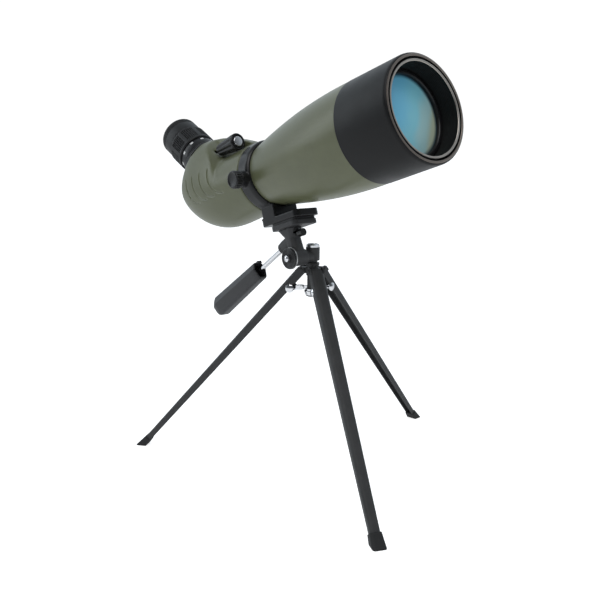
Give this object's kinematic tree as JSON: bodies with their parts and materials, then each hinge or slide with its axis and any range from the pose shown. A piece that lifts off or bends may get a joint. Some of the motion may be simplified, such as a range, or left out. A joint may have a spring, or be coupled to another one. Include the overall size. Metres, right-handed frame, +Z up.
{
  "type": "spotting scope",
  "caption": "Angled spotting scope with rubber hood, focus knob and zoom eyepiece, in a collar on a folding table tripod with a pan and tilt head.",
  "frame": {"origin": "bottom centre of the whole object's box, on the plane of the three foot soles", "axes": "+Z up; +X is the scope's heading seen from above; +Y its left side"},
  "size_m": [0.3812, 0.2986, 0.3841],
  "materials": {
    "powder_coat": "fine grey-black powder coat",
    "platform_black": "satin black",
    "chrome": "polished",
    "steel": "plain steel",
    "slip_plastic": "matte",
    "disc_black": "satin black",
    "rim_white": "turned, pale",
    "foot_rubber": "matte",
    "grip_plastic": "soft touch",
    "collar_black": "satin black",
    "brass": "plain",
    "knob_black": "satin black",
    "cap_metal": "bright disc",
    "hood_rubber": "matte rubber armour",
    "anodised_black": "black anodised",
    "shade_black": "black, fine baffle threads inside",
    "coated_glass": "multi-coated, cyan reflection",
    "glass": "clear",
    "body_green": "satin olive green armour",
    "mark_white": "white index marks"
  },
  "bodies": {
    "tripod_hub": {"hub_casting": "powder_coat", "centre_column": "powder_coat", "leg_hinge_pins": "steel", "pan_screw": "chrome"},
    "front_leg": {"front_leg": "powder_coat", "front_leg_rivet": "chrome", "front_foot_cap": "foot_rubber"},
    "left_leg": {"left_leg": "powder_coat", "left_leg_rivet": "chrome", "left_foot_cap": "foot_rubber"},
    "rear_leg": {"rear_leg": "powder_coat", "rear_leg_rivet": "chrome", "rear_foot_cap": "foot_rubber"},
    "front_brace": {"front_brace": "chrome"},
    "left_brace": {"left_brace": "chrome"},
    "rear_brace": {"rear_brace": "chrome"},
    "spreader": {"spreader_ring": "chrome"},
    "pan_head": {"pan_washer": "slip_plastic", "pan_base": "powder_coat", "tilt_bolt": "chrome", "tilt_disc": "disc_black", "tilt_rim_washer": "rim_white", "tilt_spacer_washer": "steel"},
    "tilt_head": {"tilt_stem": "powder_coat", "platform": "platform_black", "platform_pad": "foot_rubber", "tripod_collar": "collar_black", "collar_thread_insert": "brass", "collar_liner": "slip_plastic"},
    "camera_screw": {"camera_screw": "steel"},
    "platform_clamp_knob": {"platform_clamp_knob": "disc_black"},
    "collar_lock_knob": {"collar_lock_knob": "knob_black"},
    "pan_handle": {"handle_collar": "disc_black", "handle_rod": "chrome", "handle_grip": "grip_plastic"},
    "scope_body": {"hood": "hood_rubber", "objective_cell": "anodised_black", "objective_retaining_ring": "anodised_black", "objective_crown_lens": "coated_glass", "objective_flint_lens": "glass", "lens_spacer_ring": "anodised_black", "objective_tube": "body_green", "field_baffle": "anodised_black", "prism_housing": "body_green", "housing_grub_screws": "steel", "eyepiece_neck_ring": "collar_black", "eyepiece_barrel": "anodised_black", "zoom_index_marks": "mark_white", "field_lens": "glass", "eye_lens": "glass"},
    "sunshade": {"sunshade": "shade_black"},
    "focus_knob": {"focus_knob": "knob_black", "focus_knob_cap": "cap_metal"},
    "prism_carriage": {"prism_cage": "anodised_black", "roof_prism": "glass"},
    "zoom_ring": {"zoom_ring": "hood_rubber"},
    "zoom_carriage": {"zoom_lens_carriage": "anodised_black", "zoom_lens": "glass"},
    "eyecup_slider": {"eyecup_slider": "anodised_black"},
    "eyecup": {"eyecup": "hood_rubber"}
  },
  "joints": [
    {"name": "front_leg_fold", "type": "hinge", "parent": "tripod_hub", "child": "front_leg", "pos_m": [0.02857, -0.04018, 0.1942], "axis": [0.4067, 0.9135, 0], "range_deg": [0, 33.1]},
    {"name": "front_brace_swing", "type": "hinge", "parent": "front_leg", "child": "front_brace", "pos_m": [0.03807, -0.04441, 0.1762], "axis": [0.4067, 0.9135, 0], "range_deg": [0, 56.48]},
    {"name": "left_leg_fold", "type": "hinge", "parent": "tripod_hub", "child": "left_leg", "pos_m": [0.01799, -0.02561, 0.1942], "axis": [-0.9945, -0.1045, 0], "range_deg": [0, 33.1]},
    {"name": "left_brace_swing", "type": "hinge", "parent": "left_leg", "child": "left_brace", "pos_m": [0.0169, -0.01527, 0.1762], "axis": [-0.9945, -0.1045, 0], "range_deg": [0, 56.48]},
    {"name": "rear_leg_fold", "type": "hinge", "parent": "tripod_hub", "child": "rear_leg", "pos_m": [0.01066, -0.04206, 0.1942], "axis": [0.5878, -0.809, 0], "range_deg": [0, 33.1]},
    {"name": "rear_brace_swing", "type": "hinge", "parent": "rear_leg", "child": "rear_brace", "pos_m": [0.00225, -0.04817, 0.1762], "axis": [0.5878, -0.809, 0], "range_deg": [0, 56.48]},
    {"name": "spreader_slide", "type": "slide", "parent": "tripod_hub", "child": "spreader", "axis": [0, 0, 1], "range_m": [0, 0.00724]},
    {"name": "pan", "type": "hinge", "parent": "tripod_hub", "child": "pan_head", "pos_m": [0.01907, -0.03595, 0.2164], "axis": [0, 0, 1], "continuous": true},
    {"name": "tilt", "type": "hinge", "parent": "pan_head", "child": "tilt_head", "pos_m": [0.01907, -0.05475, 0.208], "axis": [0, -1, 0], "range_deg": [-25, 12]},
    {"name": "camera_screw_turn", "type": "hinge", "parent": "tilt_head", "child": "camera_screw", "pos_m": [0.01409, -0.05475, 0.23579], "axis": [-0.3007, 0, 0.9537], "range_deg": [-30, 30]},
    {"name": "platform_clamp_turn", "type": "hinge", "parent": "tilt_head", "child": "platform_clamp_knob", "pos_m": [0.02024, -0.05475, 0.23091], "axis": [0.9537, 0, 0.3007], "range_deg": [-180, 180]},
    {"name": "pan_handle_turn", "type": "hinge", "parent": "tilt_head", "child": "pan_handle", "pos_m": [-0.00257, -0.05475, 0.21343], "axis": [-0.8131, 0, -0.5821], "range_deg": [-180, 180]},
    {"name": "collar_lock_turn", "type": "hinge", "parent": "tilt_head", "child": "collar_lock_knob", "pos_m": [-0.02015, -0.09475, 0.27952], "axis": [0, -1, 0], "range_deg": [-180, 180]},
    {"name": "scope_roll", "type": "hinge", "parent": "tilt_head", "child": "scope_body", "pos_m": [-0.02102, -0.05475, 0.28228], "axis": [0.9537, 0, 0.3007], "range_deg": [-90, 90]},
    {"name": "sunshade_slide", "type": "slide", "parent": "scope_body", "child": "sunshade", "axis": [0.9537, 0, 0.3007], "range_m": [0, 0.03]},
    {"name": "focus_turn", "type": "hinge", "parent": "scope_body", "child": "focus_knob", "pos_m": [-0.05321, -0.06995, 0.31386], "axis": [0.9537, 0, 0.3007], "range_deg": [-541, 541]},
    {"name": "prism_slide", "type": "slide", "parent": "scope_body", "child": "prism_carriage", "axis": [0.9537, 0, 0.3007], "range_m": [-0.003, 0.003]},
    {"name": "zoom_turn", "type": "hinge", "parent": "scope_body", "child": "zoom_ring", "pos_m": [-0.14439, -0.05475, 0.29907], "axis": [-0.887, 0, 0.4617], "range_deg": [0, 150.5]},
    {"name": "zoom_slide", "type": "slide", "parent": "scope_body", "child": "zoom_carriage", "axis": [-0.887, 0, 0.4617], "range_m": [0, 0.01]},
    {"name": "eyecup_rise", "type": "slide", "parent": "scope_body", "child": "eyecup_slider", "axis": [-0.887, 0, 0.4617], "range_m": [0, 0.007]},
    {"name": "eyecup_twist", "type": "hinge", "parent": "eyecup_slider", "child": "eyecup", "pos_m": [-0.16426, -0.05475, 0.30941], "axis": [-0.887, 0, 0.4617], "range_deg": [0, 120.5]}
  ],
  "couplings": [
    {"joint": "front_brace_swing", "follows": "front_leg_fold", "ratio": 1.7062},
    {"joint": "left_leg_fold", "follows": "front_leg_fold", "ratio": 1},
    {"joint": "left_brace_swing", "follows": "front_leg_fold", "ratio": 1.7062},
    {"joint": "rear_leg_fold", "follows": "front_leg_fold", "ratio": 1},
    {"joint": "rear_brace_swing", "follows": "front_leg_fold", "ratio": 1.7062},
    {"joint": "spreader_slide", "follows": "front_leg_fold", "m_per_rad": 0.012539},
    {"joint": "focus_turn", "follows": "prism_slide", "rad_per_m": 3141.6},
    {"joint": "zoom_turn", "follows": "zoom_slide", "rad_per_m": 261.8},
    {"joint": "eyecup_twist", "follows": "eyecup_rise", "rad_per_m": 299.2}
  ]
}
